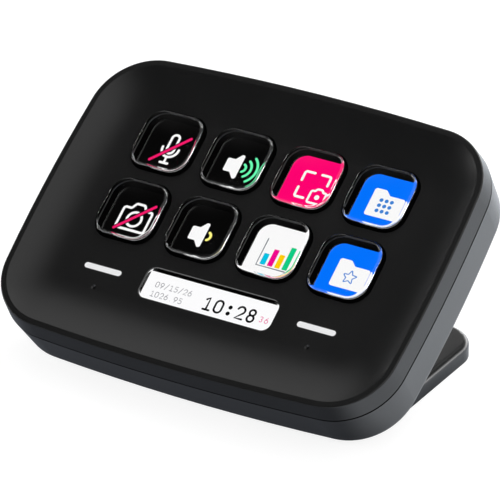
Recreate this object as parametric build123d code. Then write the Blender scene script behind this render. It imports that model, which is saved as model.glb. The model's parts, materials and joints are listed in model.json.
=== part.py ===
from build123d import *

import math
import os

# Desktop keypad: a dished slab with eight clear display keys, a narrow information display and two
# touch bars, held at a fixed slope by a flat foot. All sizes are in millimetres.
#
# The case is drawn lying flat, in face coordinates: X to the right, Y up the face, Z out of the
# face, with Z = 0 at the plane of the rim. A depth is a distance below that plane. The foot is
# drawn with the case already tilted, and the last section sets everything on the desk.

# ---------------------------------------------------------------- driving dimensions

# case
BODY_WIDTH = 107.0          # across the parting line
BODY_HEIGHT = 77.8
BODY_DEPTH = 17.4           # rim plane to rear face
EDGE_BOW_LONG = 677.0       # radius of the bowed top and bottom edges
EDGE_BOW_SHORT = 411.0      # radius of the bowed side edges
CORNER_RADIUS = 15.8
WALL = 1.8
PARTING_DEPTH = 5.0
RIM_INSET = 0.6             # how much the rim lies inside the parting line
REAR_INSET = 0.9            # how much the rear face lies inside the parting line
RIM_EDGE_RADIUS = 0.35
REAR_EDGE_RADIUS = 2.0
PARTING_GROOVE = 0.55
PARTING_GROOVE_DEPTH = 0.7
LIP_THICKNESS = 0.8
LIP_HEIGHT = 1.5
LIP_CLEARANCE = 0.1
TILT = 35.5                 # slope of the face above the desk, degrees

# dished face
RIM_WIDTH = 1.5
DISH_RUN = 12.5             # from the rim's inner edge to the flat field
DISH_DEPTH = 2.4
DISH_CORNER_RADIUS = 3.0    # corner of the flat field
DISH_SECTIONS = 6
SMALLEST_CORNER = 0.5
ROUND_END = 0.49            # largest corner of a panel, as a share of its shorter side
FACE_WALL = 1.5

# keys
KEY_PITCH = 19.15
KEY_COLUMNS = 4
KEY_BLOCK_CENTRE = 7.775    # height of the middle between the two rows
KEY_OPENING = 16.5
KEY_OPENING_RADIUS = 4.9
KEY_SIDE_GAP = 0.45
KEY_PROUD = 1.6             # key top above the flat field
KEY_EDGE_RADIUS = 0.8
KEY_TRAVEL = 1.0
KEY_FLANGE_LIP = 0.55
KEY_FLANGE_THICKNESS = 0.9
KEY_RUNNING_GAP = 0.05
OPENING_BEVEL = 0.1
COLLAR_INSET = 0.1
COLLAR_WIDTH = 1.1
COLLAR_CRUSHED = 0.45       # height of a collar when its key is fully down

# display stack under the keys
PICTURE_SIZE = 14.4
PICTURE_RADIUS = 3.2
BOARD_MARGIN = 0.4
SWITCH_BOARD_THICKNESS = 0.6
DISPLAY_THICKNESS = 1.4
BACKLIGHT_THICKNESS = 1.6
FRAME_CLEARANCE = 0.2
FRAME_WALL = 0.9
FRAME_FLOOR = 0.9
FRAME_LEDGE = 6.0
EAR_RADIUS = 3.0
EAR_THICKNESS = 1.4
EAR_SPREAD = 12.0

# information display
INFO_GAP = 3.8              # key opening to window opening
INFO_WIDTH = 35.5
INFO_HEIGHT = 8.3
INFO_RADIUS = 2.2
INFO_WINDOW_GAP = 0.1
INFO_WINDOW_RECESS = 0.1
INFO_WINDOW_BEVEL = 0.25
INFO_OVERLAP = 0.6          # glass beyond the opening, on each side
INFO_GLASS_THICKNESS = 1.1
INFO_LIGHT_THICKNESS = 0.9
INFO_HOLDER_WALL = 0.8
INFO_HOLDER_CLEARANCE = 0.1

# touch bars
TOUCH_LENGTH = 10.0
TOUCH_WIDTH = 1.4
TOUCH_GAP = 0.04
TOUCH_FLANGE = 1.0
TOUCH_FLANGE_THICKNESS = 0.8
TOUCH_STEM = 1.2
LAMP_COUNT = 3
LAMP_PITCH = 3.2
LAMP_LENGTH = 1.6
LAMP_WIDTH = 1.2
LAMP_HEIGHT = 0.6
TOUCH_BOARD_LENGTH = 17.0
TOUCH_BOARD_WIDTH = 6.4
TOUCH_BOARD_THICKNESS = 0.8
TOUCH_BOARD_RADIUS = 1.0
TOUCH_POST_RADIUS = 1.1
TOUCH_POST_INSET = 1.4      # post centre from the end of the touch board
CONTACT_PIN_RADIUS = 0.4
CONTACT_PIN_PITCH = 2.0
CONTACT_PIN_COUNT = 3
DOT_DROP = 5.0              # small countersunk hole below the middle of its touch bar
DOT_RADIUS = 0.65
DOT_SINK = 0.4              # depth of the countersink
DOT_HOLE_RADIUS = 0.25

# main board
MAIN_BOARD_GAP = 1.8        # edge of the main board to the side wall of the case
MAIN_BOARD_HEIGHT = 50.0
MAIN_BOARD_THICKNESS = 1.0
MAIN_BOARD_RADIUS = 3.0
CHIP_THICKNESS = 0.9
CHIPS = [(-22.0, 6.0, 10.0, 10.0), (-8.0, 6.0, 8.0, 6.0), (24.0, 2.0, 6.0, 6.0), (34.0, -6.0, 5.0, 3.0)]
CONNECTOR_HEIGHT = 1.2
CONNECTOR_DEPTH = 3.0
CONNECTOR_SET_BACK = 2.0    # connector's mouth from the edge of the main board
CONNECTOR_CHEEK = 1.0       # connector beyond its cable on each side
FLEX_THICKNESS = 0.25
FLEX_BEND = 1.0
FLEX_UPPER_REACH = 0.95     # how far an upper cable turns beyond the display frame
FLEX_LOWER_REACH = 3.6      # how far the lower cable turns beyond the main board
FLEX_NOTCH_GAP = 0.3
DISPLAY_FLEX_WIDTH = 22.0
DISPLAY_FLEX_PLACE = -14.0
SWITCH_FLEX_WIDTH = 8.0
SWITCH_FLEX_PLACE = 16.0
INFO_FLEX_WIDTH = 12.0
INFO_FLEX_PLACE = 12.0

# USB-C port
USB_PLACE = 14.0            # height of the port above the middle of the rear face
USB_WIDTH = 8.94
USB_THICKNESS = 3.26
USB_LENGTH = 6.2
USB_SHEET = 0.3
USB_RECESS = 0.4
USB_CLEARANCE = 0.15
USB_BASE = 1.6
USB_TONGUE_WIDTH = 6.7
USB_TONGUE_THICKNESS = 0.7
USB_TONGUE_LENGTH = 3.9
USB_POCKET_MARGIN = 1.7
USB_POCKET_DEPTH = 0.6

# screws
SCREW_RADIUS = 1.2
SCREW_CLEARANCE = 0.05
SCREW_HEAD_RADIUS = 2.2
SCREW_HEAD_HEIGHT = 1.3
SCREW_HEAD_CLEARANCE = 0.15
SCREW_HEAD_ROUNDING = 0.4   # share of the head's height
SCREW_POINT = 0.3           # chamfer at the tip, as a share of the shank's radius
SCREW_SLOT_LENGTH = 2.6
SCREW_SLOT_WIDTH = 0.6
SCREW_SLOT_DEPTH = 0.7
SCREW_BITE = 4.0            # how far a screw reaches into its boss
SCREW_TIP_GAP = 0.5
BOSS_WALL = 1.5
CASE_SCREW_INSET = 9.2      # from the sides of the case
CASE_SCREW_FLOOR = 2.0      # plastic left under a case screw's head

# foot
DESK_CLEARANCE = 0.4        # desk to the lowest point of the case
FOOT_WIDTH = 89.0
FOOT_TOP = 4.3              # height of the foot's upper face above the desk
FOOT_REACH = 36.8           # how far the foot reaches back from the middle of the face
FOOT_CORNER_RADIUS = 9.0
FOOT_EDGE_RADIUS = 1.5
FOOT_GROUND_GAP = 0.15
FOOT_SEAT_INSET = 4.5       # front of the foot above the lower edge of the case
FLANGE_WIDTH = 72.0
FLANGE_THICKNESS = 3.0
FLANGE_TOP = 23.0           # flange height above the lower edge of the case
FLANGE_CORNER_RADIUS = 5.0
FLANGE_CORNER_SHARE = 0.45  # of the flange's height, when that is the smaller
FLANGE_EDGE_RADIUS = 0.8
FLANGE_BLEND = 1.0
FLANGE_SEAT_GAP = 0.05
FOOT_SCREW_COUNT = 3
FOOT_SCREW_PITCH = 26.0
FOOT_SCREW_DROP = 4.0       # screw centres below the flange's top edge
FOOT_BOSS_HEIGHT = 2.6
FOOT_SCREW_BITE = 3.6
PAD_THICKNESS = 1.2
PAD_MARGIN = 3.0
PAD_GAP = 0.1
WEIGHT_THICKNESS = 1.5
WEIGHT_MARGIN = 5.0

# ---------------------------------------------------------------- derived places

half_width = BODY_WIDTH / 2
half_height = BODY_HEIGHT / 2

ceiling = DISH_DEPTH + FACE_WALL
key_top = DISH_DEPTH - KEY_PROUD
flange_top = ceiling + KEY_RUNNING_GAP
key_bottom = flange_top + KEY_FLANGE_THICKNESS
collar_top = key_bottom + KEY_RUNNING_GAP
switch_board_top = collar_top + KEY_TRAVEL + COLLAR_CRUSHED
display_top = switch_board_top + SWITCH_BOARD_THICKNESS
backlight_top = display_top + DISPLAY_THICKNESS
frame_floor_top = backlight_top + BACKLIGHT_THICKNESS
main_board_top = frame_floor_top + FRAME_FLOOR
main_board_bottom = main_board_top + MAIN_BOARD_THICKNESS
main_board_width = BODY_WIDTH - 2 * (WALL + MAIN_BOARD_GAP)
rear_inside = BODY_DEPTH - WALL

key_columns = [(i - (KEY_COLUMNS - 1) / 2) * KEY_PITCH for i in range(KEY_COLUMNS)]
key_rows = [KEY_BLOCK_CENTRE + KEY_PITCH / 2, KEY_BLOCK_CENTRE - KEY_PITCH / 2]
key_places = [(x, y) for y in key_rows for x in key_columns]
key_size = KEY_OPENING - 2 * KEY_SIDE_GAP
key_radius = KEY_OPENING_RADIUS - KEY_SIDE_GAP
key_flange_size = KEY_OPENING + 2 * KEY_FLANGE_LIP
key_flange_radius = KEY_OPENING_RADIUS + KEY_FLANGE_LIP

stack_width = (KEY_COLUMNS - 1) * KEY_PITCH + key_flange_size + 2 * BOARD_MARGIN
stack_height = KEY_PITCH + key_flange_size + 2 * BOARD_MARGIN
stack_top_edge = KEY_BLOCK_CENTRE + stack_height / 2
frame_grow = 2 * (FRAME_CLEARANCE + FRAME_WALL)
frame_width = stack_width + frame_grow
frame_height = stack_height + frame_grow
ear_x = (frame_width / 2 + half_width - WALL) / 2
ear_reach = ear_x - frame_width / 2
ear_top = main_board_top - EAR_THICKNESS
ear_places = [
    (side * ear_x, KEY_BLOCK_CENTRE + end * EAR_SPREAD) for side in (-1, 1) for end in (-1, 1)
]

info_centre = key_rows[1] - KEY_OPENING / 2 - INFO_GAP - INFO_HEIGHT / 2
info_glass_width = INFO_WIDTH + 2 * INFO_OVERLAP
info_glass_height = INFO_HEIGHT + 2 * INFO_OVERLAP
info_light_top = ceiling + INFO_GLASS_THICKNESS
info_holder_floor = info_light_top + INFO_LIGHT_THICKNESS
info_holder_bottom = info_holder_floor + INFO_HOLDER_WALL

touch_places = [(key_columns[0], info_centre), (key_columns[-1], info_centre)]
touch_stem_bottom = ceiling + TOUCH_FLANGE_THICKNESS + TOUCH_STEM
touch_board_top = touch_stem_bottom + LAMP_HEIGHT
touch_board_bottom = touch_board_top + TOUCH_BOARD_THICKNESS

case_screw_places = [
    (side * (half_width - CASE_SCREW_INSET), end * (half_height - CASE_SCREW_INSET))
    for side in (-1, 1)
    for end in (-1, 1)
]
screw_hole_radius = SCREW_RADIUS + SCREW_CLEARANCE
head_hole_radius = SCREW_HEAD_RADIUS + SCREW_HEAD_CLEARANCE
boss_radius = screw_hole_radius + BOSS_WALL
case_boss_bottom = main_board_top
case_screw_seat = case_boss_bottom + CASE_SCREW_FLOOR

usb_mouth = BODY_DEPTH - USB_RECESS
usb_back = usb_mouth - USB_LENGTH

flange_back = BODY_DEPTH + FLANGE_SEAT_GAP + FLANGE_THICKNESS
flange_top_y = FLANGE_TOP - half_height
foot_front_y = FOOT_SEAT_INSET - half_height
foot_screw_y = flange_top_y - FOOT_SCREW_DROP
foot_screw_places = [
    ((i - (FOOT_SCREW_COUNT - 1) / 2) * FOOT_SCREW_PITCH, foot_screw_y)
    for i in range(FOOT_SCREW_COUNT)
]

flat_parts = {}      # drawn in face coordinates
tilted_parts = {}    # drawn with the case already tilted


# ---------------------------------------------------------------- shared shapes


def unit(x, y):
    size = math.hypot(x, y)
    return x / size, y / size


def case_outline(inset, radius):
    """Outline with four bowed edges and round corners, drawn `inset` inside the parting line."""
    side = half_width - inset
    top = half_height - inset
    long_centre = half_height - EDGE_BOW_LONG
    short_centre = half_width - EDGE_BOW_SHORT
    # the corner circle touches the long edge's circle and the short edge's circle
    long_reach = EDGE_BOW_LONG - inset - radius
    short_reach = EDGE_BOW_SHORT - inset - radius
    span = math.hypot(short_centre, long_centre)
    along = (short_reach**2 - long_reach**2 + span**2) / (2 * span)
    across = math.sqrt(short_reach**2 - along**2)
    toward_x, toward_y = -short_centre / span, long_centre / span
    centre_x = short_centre + along * toward_x - across * toward_y
    centre_y = along * toward_y + across * toward_x
    to_long = unit(centre_x, centre_y - long_centre)
    to_short = unit(centre_x - short_centre, centre_y)
    to_middle = unit(to_long[0] + to_short[0], to_long[1] + to_short[1])

    def corner(direction, flip_x, flip_y):
        return (flip_x * (centre_x + radius * direction[0]), flip_y * (centre_y + radius * direction[1]))

    long_edge = [
        ThreePointArc(corner(to_long, -end, end), (0, end * top), corner(to_long, end, end))
        for end in (1, -1)
    ]
    short_edge = [
        ThreePointArc(corner(to_short, end, end), (end * side, 0), corner(to_short, end, -end))
        for end in (1, -1)
    ]
    round_corner = [
        ThreePointArc(corner(to_long, fx, fy), corner(to_middle, fx, fy), corner(to_short, fx, fy))
        for fx, fy in ((1, 1), (1, -1), (-1, -1), (-1, 1))
    ]
    return Wire(
        [
            long_edge[0],
            round_corner[0],
            short_edge[0],
            round_corner[1],
            long_edge[1],
            round_corner[2],
            short_edge[1],
            round_corner[3],
        ]
    )


def case_face(inset, depth):
    return Pos(0, 0, -depth) * make_face(case_outline(inset, max(CORNER_RADIUS - inset, SMALLEST_CORNER)))


def taper_block(inset_a, depth_a, inset_b, depth_b):
    """Solid between two outlines of the case."""
    return loft([case_face(inset_a, depth_a), case_face(inset_b, depth_b)], ruled=True)


def dish():
    """The hollow of the face: steep at the rim, flat where it meets the field."""
    start_inset = RIM_INSET + RIM_WIDTH
    start_radius = CORNER_RADIUS - start_inset
    sections = []
    for i in range(DISH_SECTIONS + 1):
        run = i / DISH_SECTIONS
        inset = start_inset + run * DISH_RUN
        radius = start_radius + run * (DISH_CORNER_RADIUS - start_radius)
        depth = DISH_DEPTH * (1 - (1 - run) ** 2)
        sections.append(Pos(0, 0, -depth) * make_face(case_outline(inset, radius)))
    return loft(sections)


def prism(sketch, top, bottom):
    """Sketch carried straight through from one depth to a lower one."""
    return Pos(0, 0, -bottom) * extrude(sketch, bottom - top)


def panel(width, height, radius, place=(0, 0)):
    largest = ROUND_END * min(width, height)
    return Pos(place[0], place[1]) * RectangleRounded(width, height, min(radius, largest))


def disc(radius, place=(0, 0)):
    return Pos(place[0], place[1]) * Circle(radius)


def rear_inset(depth):
    """How far the outside of the rear shell lies inside the parting line at a depth."""
    return REAR_INSET * (depth - PARTING_DEPTH) / (BODY_DEPTH - PARTING_DEPTH)


def screw(length):
    """Pan-head screw with its head on top of Z = 0 and its shank below."""
    head = extrude(Circle(SCREW_HEAD_RADIUS), SCREW_HEAD_HEIGHT)
    head = fillet(head.edges().sort_by(Axis.Z)[-1], SCREW_HEAD_ROUNDING * SCREW_HEAD_HEIGHT)
    shank = extrude(Circle(SCREW_RADIUS), -length)
    shank = chamfer(shank.edges().sort_by(Axis.Z)[0], SCREW_POINT * SCREW_RADIUS)
    cross = Rectangle(SCREW_SLOT_LENGTH, SCREW_SLOT_WIDTH) + Rectangle(SCREW_SLOT_WIDTH, SCREW_SLOT_LENGTH)
    slot = Pos(0, 0, SCREW_HEAD_HEIGHT) * extrude(cross, -SCREW_SLOT_DEPTH)
    return head + shank - slot


def screw_from_behind(length, place, seat_depth):
    return Pos(place[0], place[1], -seat_depth) * Rot(180, 0, 0) * screw(length)


def flat_cable(place, width, side, turn, top_start, top, bottom_start, bottom):
    """Flat cable bent round an edge of the main board, which lies on that `side` of the middle.

    It leaves `top_start` at depth `top`, goes round at `turn` and comes back to `bottom_start` at
    depth `bottom`; the starts and the turn are distances from the middle."""
    middle = (top + bottom) / 2
    outer = RectangleRounded(2 * turn, bottom - top + FLEX_THICKNESS, FLEX_BEND + FLEX_THICKNESS)
    inner = RectangleRounded(2 * (turn - FLEX_THICKNESS), bottom - top - FLEX_THICKNESS, FLEX_BEND)
    loop = outer - inner
    for start, level in ((top_start, middle - top), (bottom_start, middle - bottom)):
        loop -= Pos((start - turn) / 2, level) * Rectangle(turn + start, 2 * FLEX_THICKNESS)
    loop -= Pos(-turn, 0) * Rectangle(2 * FLEX_BEND, 2 * (bottom - top))
    across = Plane(origin=(place - side * width / 2, 0, -middle), x_dir=(0, side, 0), z_dir=(side, 0, 0))
    return extrude(across * loop, width)


# ---------------------------------------------------------------- front shell

hollow = dish()
front = taper_block(RIM_INSET, 0, 0, PARTING_DEPTH)
front = fillet(front.faces().sort_by(Axis.Z)[-1].edges(), RIM_EDGE_RADIUS)
front -= hollow

inside = taper_block(WALL + RIM_INSET, FACE_WALL, WALL, PARTING_DEPTH)
inside -= Pos(0, 0, -FACE_WALL) * hollow
front -= inside

lip_outside = WALL - LIP_THICKNESS
recess_top = PARTING_DEPTH - LIP_HEIGHT - LIP_CLEARANCE
recess = prism(case_face(lip_outside - LIP_CLEARANCE, 0), recess_top, PARTING_DEPTH)
recess -= prism(case_face(WALL + RIM_INSET, 0), 0, BODY_DEPTH)
front -= recess

# bosses for the case screws and for the frame's screws, posts for the touch boards
frame_screw_tip = ear_top - SCREW_BITE
case_screw_tip = case_boss_bottom - SCREW_BITE
for places, bottom, tip in (
    (case_screw_places, case_boss_bottom, case_screw_tip),
    (ear_places, ear_top, frame_screw_tip),
):
    for place in places:
        front += prism(disc(boss_radius, place), FACE_WALL, bottom) - hollow
        front -= prism(disc(screw_hole_radius, place), tip - SCREW_TIP_GAP, bottom)

post_reach = TOUCH_BOARD_LENGTH / 2 - TOUCH_POST_INSET
for x, y in touch_places:
    for end in (-1, 1):
        post = disc(TOUCH_POST_RADIUS, (x + end * post_reach, y))
        front += prism(post, FACE_WALL, touch_board_top) - hollow

# openings, with a small bevel at the face of the eight key openings and of the window
bevel_reach = 2 * OPENING_BEVEL
bevelled_size = KEY_OPENING + 2 * bevel_reach
bevelled_radius = KEY_OPENING_RADIUS + bevel_reach
for place in key_places:
    straight = panel(KEY_OPENING, KEY_OPENING, KEY_OPENING_RADIUS, place)
    bevelled = panel(bevelled_size, bevelled_size, bevelled_radius, place)
    front -= prism(straight, 0, BODY_DEPTH)
    front -= loft(
        [
            Pos(0, 0, OPENING_BEVEL - DISH_DEPTH) * bevelled,
            Pos(0, 0, -OPENING_BEVEL - DISH_DEPTH) * straight,
        ],
        ruled=True,
    )
info_place = (0, info_centre)
front -= prism(panel(INFO_WIDTH, INFO_HEIGHT, INFO_RADIUS, info_place), 0, ceiling)
for place in touch_places:
    front -= prism(
        panel(TOUCH_LENGTH + 2 * TOUCH_GAP, TOUCH_WIDTH + 2 * TOUCH_GAP, TOUCH_WIDTH, place), 0, ceiling
    )
    dot_place = (place[0], place[1] - DOT_DROP)
    front -= prism(disc(DOT_HOLE_RADIUS, dot_place), 0, ceiling)
    front -= loft(
        [
            Pos(0, 0, -DISH_DEPTH) * disc(DOT_RADIUS, dot_place),
            Pos(0, 0, -DISH_DEPTH - DOT_SINK) * disc(DOT_HOLE_RADIUS, dot_place),
        ],
        ruled=True,
    )
flat_parts["front_shell"] = front

# ---------------------------------------------------------------- rear shell

rear = taper_block(0, PARTING_DEPTH, REAR_INSET, BODY_DEPTH)
rear = fillet(rear.faces().sort_by(Axis.Z)[0].edges(), REAR_EDGE_RADIUS)
rear -= taper_block(WALL, PARTING_DEPTH, rear_inset(rear_inside) + WALL, rear_inside)

around_case = make_face(case_outline(-WALL, CORNER_RADIUS + WALL))
groove = prism(around_case, PARTING_DEPTH, PARTING_DEPTH + PARTING_GROOVE)
groove -= prism(case_face(PARTING_GROOVE_DEPTH, 0), 0, BODY_DEPTH)
rear -= groove

lip = prism(case_face(lip_outside, 0), PARTING_DEPTH - LIP_HEIGHT, PARTING_DEPTH + WALL)
lip -= prism(case_face(WALL, 0), 0, BODY_DEPTH)
rear += lip

for place in case_screw_places:
    rear += prism(disc(head_hole_radius + BOSS_WALL, place), case_boss_bottom, BODY_DEPTH - WALL / 2)
    rear -= prism(disc(screw_hole_radius, place), PARTING_DEPTH, BODY_DEPTH)
    rear -= prism(disc(head_hole_radius, place), case_screw_seat, BODY_DEPTH)
foot_screw_tip = BODY_DEPTH - FOOT_SCREW_BITE
for place in foot_screw_places:
    rear += prism(disc(boss_radius, place), rear_inside - FOOT_BOSS_HEIGHT, rear_inside)
    rear -= prism(disc(screw_hole_radius, place), foot_screw_tip - SCREW_TIP_GAP, BODY_DEPTH)

usb_place = (0, USB_PLACE)
usb_pocket = 2 * USB_POCKET_MARGIN
rear -= prism(
    panel(USB_WIDTH + 2 * USB_CLEARANCE, USB_THICKNESS + 2 * USB_CLEARANCE, USB_THICKNESS, usb_place),
    rear_inside,
    BODY_DEPTH,
)
rear -= prism(
    panel(USB_WIDTH + usb_pocket, USB_THICKNESS + usb_pocket, USB_THICKNESS, usb_place),
    BODY_DEPTH - USB_POCKET_DEPTH,
    BODY_DEPTH,
)
flat_parts["rear_shell"] = rear

# ---------------------------------------------------------------- keys and their silicone collars

for number, place in enumerate(key_places, start=1):
    cap = prism(panel(key_size, key_size, key_radius, place), key_top, key_bottom)
    cap = fillet(cap.faces().sort_by(Axis.Z)[-1].edges(), KEY_EDGE_RADIUS)
    cap += prism(panel(key_flange_size, key_flange_size, key_flange_radius, place), flange_top, key_bottom)
    flat_parts[f"key_cap_{number}"] = cap

    collar_size = key_flange_size - 2 * COLLAR_INSET
    collar_radius = key_flange_radius - COLLAR_INSET
    collar_sketch = panel(collar_size, collar_size, collar_radius, place)
    collar_sketch -= panel(
        collar_size - 2 * COLLAR_WIDTH, collar_size - 2 * COLLAR_WIDTH, collar_radius - COLLAR_WIDTH, place
    )
    flat_parts[f"key_collar_{number}"] = prism(collar_sketch, collar_top, switch_board_top)

# ---------------------------------------------------------------- display stack

stack_place = (0, KEY_BLOCK_CENTRE)
switch_board = panel(stack_width, stack_height, MAIN_BOARD_RADIUS, stack_place)
for place in key_places:
    switch_board -= panel(PICTURE_SIZE, PICTURE_SIZE, PICTURE_RADIUS, place)
flat_parts["switch_board"] = prism(switch_board, switch_board_top, display_top)
stack_plate = panel(stack_width, stack_height, BOARD_MARGIN, stack_place)
flat_parts["key_display"] = prism(stack_plate, display_top, backlight_top)
flat_parts["key_backlight"] = prism(stack_plate, backlight_top, frame_floor_top)

frame_outline = panel(frame_width, frame_height, MAIN_BOARD_RADIUS, stack_place)
frame = prism(frame_outline, ceiling, main_board_top)
frame -= prism(
    panel(
        stack_width + 2 * FRAME_CLEARANCE,
        stack_height + 2 * FRAME_CLEARANCE,
        FRAME_CLEARANCE,
        stack_place,
    ),
    0,
    frame_floor_top,
)
frame -= prism(
    panel(stack_width - 2 * FRAME_LEDGE, stack_height - 2 * FRAME_LEDGE, MAIN_BOARD_RADIUS, stack_place),
    0,
    BODY_DEPTH,
)
for x, y in ear_places:
    side = 1 if x > 0 else -1
    arm_middle = side * (frame_width / 2 + ear_x) / 2
    ear = disc(EAR_RADIUS, (x, y)) + Pos(arm_middle, y) * Rectangle(ear_reach, 2 * EAR_RADIUS)
    frame += prism(ear, ear_top, main_board_top)
    frame -= prism(disc(screw_hole_radius, (x, y)), 0, BODY_DEPTH)
for place, width, bottom in (
    (DISPLAY_FLEX_PLACE, DISPLAY_FLEX_WIDTH, backlight_top),
    (SWITCH_FLEX_PLACE, SWITCH_FLEX_WIDTH, display_top),
):
    notch = Pos(place, stack_top_edge) * Rectangle(width + 2 * FLEX_NOTCH_GAP, 2 * frame_grow)
    frame -= prism(notch, 0, bottom)
flat_parts["display_frame"] = frame

# ---------------------------------------------------------------- information display

window_top = DISH_DEPTH + INFO_WINDOW_RECESS
window = prism(
    panel(
        INFO_WIDTH - 2 * INFO_WINDOW_GAP,
        INFO_HEIGHT - 2 * INFO_WINDOW_GAP,
        INFO_RADIUS - INFO_WINDOW_GAP,
        info_place,
    ),
    window_top,
    ceiling,
)
window = chamfer(window.faces().sort_by(Axis.Z)[-1].edges(), INFO_WINDOW_BEVEL)
flat_parts["info_window"] = window

info_plate = panel(info_glass_width, info_glass_height, BOARD_MARGIN, info_place)
flat_parts["info_display"] = prism(info_plate, ceiling, info_light_top)
flat_parts["info_backlight"] = prism(info_plate, info_light_top, info_holder_floor)

holder_inner_width = info_glass_width + 2 * INFO_HOLDER_CLEARANCE
holder_inner_height = info_glass_height + 2 * INFO_HOLDER_CLEARANCE
holder = prism(
    panel(
        holder_inner_width + 2 * INFO_HOLDER_WALL,
        holder_inner_height + 2 * INFO_HOLDER_WALL,
        INFO_HOLDER_WALL,
        info_place,
    ),
    ceiling,
    info_holder_bottom,
)
holder -= prism(
    panel(holder_inner_width, holder_inner_height, BOARD_MARGIN, info_place), 0, info_holder_floor
)
info_lower_edge = info_centre - info_glass_height / 2
holder_notch = Rectangle(
    INFO_FLEX_WIDTH + 2 * FLEX_NOTCH_GAP, 4 * (INFO_HOLDER_CLEARANCE + INFO_HOLDER_WALL)
)
holder -= prism(Pos(INFO_FLEX_PLACE, info_lower_edge) * holder_notch, 0, info_light_top)
flat_parts["info_holder"] = holder

# ---------------------------------------------------------------- touch bars

lamps = []
pins = []
for side, place in zip(("left", "right"), touch_places):
    bar = prism(panel(TOUCH_LENGTH, TOUCH_WIDTH, TOUCH_WIDTH, place), DISH_DEPTH, touch_stem_bottom)
    bar += prism(
        panel(TOUCH_LENGTH + 2 * TOUCH_FLANGE, TOUCH_WIDTH + 2 * TOUCH_FLANGE, TOUCH_WIDTH, place),
        ceiling,
        ceiling + TOUCH_FLANGE_THICKNESS,
    )
    flat_parts[f"touch_bar_{side}"] = bar
    flat_parts[f"touch_board_{side}"] = prism(
        panel(TOUCH_BOARD_LENGTH, TOUCH_BOARD_WIDTH, TOUCH_BOARD_RADIUS, place),
        touch_board_top,
        touch_board_bottom,
    )
    for i in range(LAMP_COUNT):
        x = place[0] + (i - (LAMP_COUNT - 1) / 2) * LAMP_PITCH
        lamp = Pos(x, place[1]) * Rectangle(LAMP_LENGTH, LAMP_WIDTH)
        lamps.append(prism(lamp, touch_stem_bottom, touch_board_top))
    for i in range(CONTACT_PIN_COUNT):
        x = place[0] + (i - (CONTACT_PIN_COUNT - 1) / 2) * CONTACT_PIN_PITCH
        pins.append(prism(disc(CONTACT_PIN_RADIUS, (x, place[1])), touch_board_bottom, main_board_top))
flat_parts["touch_lamps"] = Compound(children=lamps)
flat_parts["touch_contact_pins"] = Compound(children=pins)

# ---------------------------------------------------------------- main board, its chips and cables

board_sketch = panel(main_board_width, MAIN_BOARD_HEIGHT, MAIN_BOARD_RADIUS)
for place in ear_places:
    board_sketch -= disc(screw_hole_radius, place)
board_sketch -= panel(
    USB_WIDTH + 2 * USB_CLEARANCE, USB_THICKNESS + 2 * USB_CLEARANCE, USB_THICKNESS, usb_place
)
flat_parts["main_board"] = prism(board_sketch, main_board_top, main_board_bottom)
flat_parts["board_chips"] = Compound(
    children=[
        prism(Pos(x, y) * Rectangle(width, height), main_board_bottom, main_board_bottom + CHIP_THICKNESS)
        for x, y, width, height in CHIPS
    ]
)

mouth = MAIN_BOARD_HEIGHT / 2 - CONNECTOR_SET_BACK
cable_bottom = main_board_bottom + CONNECTOR_HEIGHT / 2
holder_lower_edge = INFO_HOLDER_CLEARANCE + INFO_HOLDER_WALL - info_lower_edge
upper_turn = max(MAIN_BOARD_HEIGHT / 2, stack_top_edge + frame_grow / 2) + FLEX_UPPER_REACH
lower_turn = max(MAIN_BOARD_HEIGHT / 2, holder_lower_edge) + FLEX_LOWER_REACH
display_flex = ("display_cable", DISPLAY_FLEX_PLACE, DISPLAY_FLEX_WIDTH, 1)
switch_flex = ("switch_cable", SWITCH_FLEX_PLACE, SWITCH_FLEX_WIDTH, 1)
info_flex = ("info_cable", INFO_FLEX_PLACE, INFO_FLEX_WIDTH, -1)
cables = (
    (*display_flex, upper_turn, stack_top_edge, display_top, backlight_top),
    (*switch_flex, upper_turn, stack_top_edge, switch_board_top, display_top),
    (*info_flex, lower_turn, -info_lower_edge, ceiling, info_light_top),
)
connectors = []
for name, place, width, side, turn, start, upper, lower in cables:
    flat_parts[name] = flat_cable(place, width, side, turn, start, (upper + lower) / 2, mouth, cable_bottom)
    connectors.append(
        prism(
            Pos(place, side * (mouth - CONNECTOR_DEPTH / 2))
            * Rectangle(width + 2 * CONNECTOR_CHEEK, CONNECTOR_DEPTH),
            main_board_bottom,
            main_board_bottom + CONNECTOR_HEIGHT,
        )
    )
flat_parts["cable_connectors"] = Compound(children=connectors)

# ---------------------------------------------------------------- USB-C port

usb_inner_width = USB_WIDTH - 2 * USB_SHEET
usb_inner_height = USB_THICKNESS - 2 * USB_SHEET
usb_shell = prism(panel(USB_WIDTH, USB_THICKNESS, USB_THICKNESS, usb_place), usb_back, usb_mouth)
usb_shell -= prism(
    panel(usb_inner_width, usb_inner_height, USB_THICKNESS, usb_place), usb_back + USB_SHEET, usb_mouth
)
flat_parts["usb_shell"] = usb_shell
usb_base_bottom = usb_back + USB_SHEET + USB_BASE
usb_tongue = prism(
    panel(usb_inner_width, usb_inner_height, USB_THICKNESS, usb_place), usb_back + USB_SHEET, usb_base_bottom
)
usb_tongue += prism(
    panel(USB_TONGUE_WIDTH, USB_TONGUE_THICKNESS, USB_TONGUE_THICKNESS / 4, usb_place),
    usb_base_bottom,
    usb_base_bottom + USB_TONGUE_LENGTH,
)
flat_parts["usb_tongue"] = usb_tongue

# ---------------------------------------------------------------- screws

flat_parts["case_screws"] = Compound(
    children=[
        screw_from_behind(case_screw_seat - case_screw_tip, place, case_screw_seat)
        for place in case_screw_places
    ]
)
flat_parts["board_screws"] = Compound(
    children=[
        screw_from_behind(main_board_bottom - frame_screw_tip, place, main_board_bottom)
        for place in ear_places
    ]
)
flat_parts["foot_screws"] = Compound(
    children=[
        screw_from_behind(flange_back - foot_screw_tip, place, flange_back) for place in foot_screw_places
    ]
)

# ---------------------------------------------------------------- foot

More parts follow.
